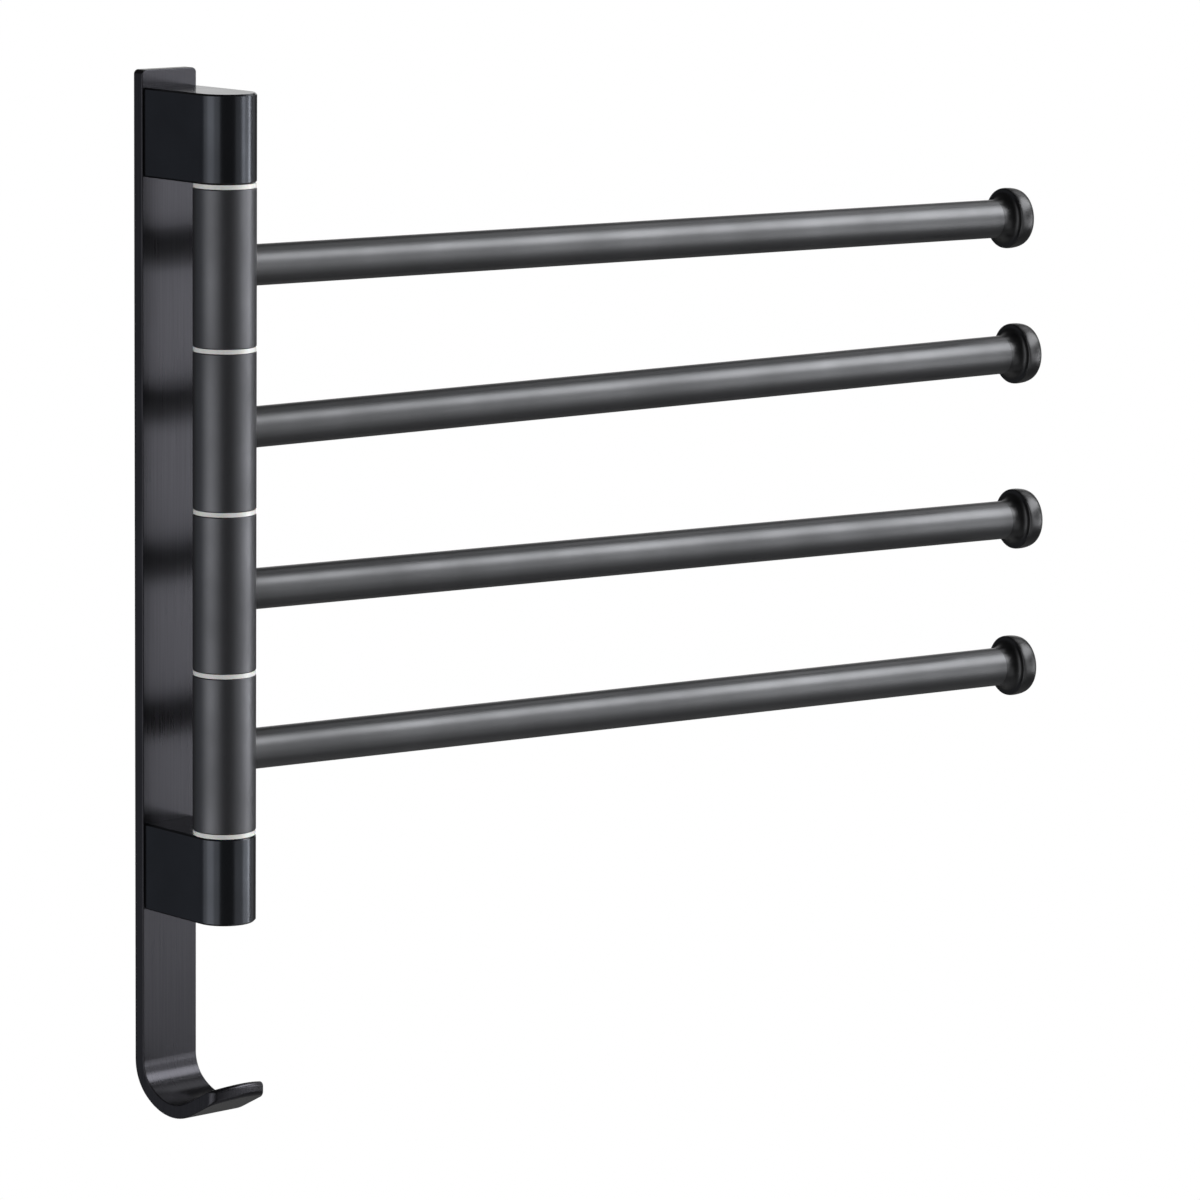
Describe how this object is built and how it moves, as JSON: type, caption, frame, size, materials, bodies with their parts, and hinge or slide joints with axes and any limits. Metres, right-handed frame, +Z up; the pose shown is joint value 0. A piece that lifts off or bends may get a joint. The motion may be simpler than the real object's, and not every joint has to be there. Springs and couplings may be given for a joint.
{
  "type": "swing arm towel bar",
  "caption": "Wall strip with a robe hook at its foot and two brackets that hold an upright rod, on which long round towel arms with disc ends swing side by side.",
  "frame": {"origin": "on the wall plane, midway between the two wall screws behind the strip", "axes": "+Z up, +Y into the wall, +X to the right as seen from the room"},
  "size_m": [0.3256, 0.0891, 0.3331],
  "materials": {
    "brushed_black": "black anodised, brushed lengthwise, satin",
    "polished_black": "black anodised, smooth gloss",
    "satin_black": "black anodised, fine blasted satin",
    "cap_black": "black anodised, turned, semi-gloss",
    "white_nylon": "white nylon, smooth",
    "bush_nylon": "natural nylon, matte",
    "bright_steel": "stainless steel, turned"
  },
  "bodies": {
    "root": {"back_plate": "brushed_black", "upper_wall_clip": "bright_steel", "lower_wall_clip": "bright_steel", "clip_lock_screw": "bright_steel", "upper_bracket": "polished_black", "lower_bracket": "polished_black", "upper_bracket_screws": "bright_steel", "lower_bracket_screws": "bright_steel", "pivot_rod": "bright_steel", "washer_1": "white_nylon", "washer_2": "white_nylon", "washer_3": "white_nylon", "washer_4": "white_nylon", "washer_5": "white_nylon"},
    "arm_1": {"barrel_1": "satin_black", "upper_bush_1": "bush_nylon", "lower_bush_1": "bush_nylon", "bar_1": "satin_black", "bar_stud_1": "bright_steel", "end_cap_1": "cap_black"},
    "arm_2": {"barrel_2": "satin_black", "upper_bush_2": "bush_nylon", "lower_bush_2": "bush_nylon", "bar_2": "satin_black", "bar_stud_2": "bright_steel", "end_cap_2": "cap_black"},
    "arm_3": {"barrel_3": "satin_black", "upper_bush_3": "bush_nylon", "lower_bush_3": "bush_nylon", "bar_3": "satin_black", "bar_stud_3": "bright_steel", "end_cap_3": "cap_black"},
    "arm_4": {"barrel_4": "satin_black", "upper_bush_4": "bush_nylon", "lower_bush_4": "bush_nylon", "bar_4": "satin_black", "bar_stud_4": "bright_steel", "end_cap_4": "cap_black"}
  },
  "joints": [
    {"name": "arm_1_swing", "type": "hinge", "parent": "root", "child": "arm_1", "pos_m": [0, -0.0324, 0.0768], "axis": [0, 0, 1], "range_deg": [-173.1, 6.9]},
    {"name": "arm_2_swing", "type": "hinge", "parent": "root", "child": "arm_2", "pos_m": [0, -0.0324, 0.0256], "axis": [0, 0, 1], "range_deg": [-172, 8]},
    {"name": "arm_3_swing", "type": "hinge", "parent": "root", "child": "arm_3", "pos_m": [0, -0.0324, -0.0256], "axis": [0, 0, 1], "range_deg": [-171.5, 8.5]},
    {"name": "arm_4_swing", "type": "hinge", "parent": "root", "child": "arm_4", "pos_m": [0, -0.0324, -0.0768], "axis": [0, 0, 1], "range_deg": [-171.8, 8.2]}
  ]
}
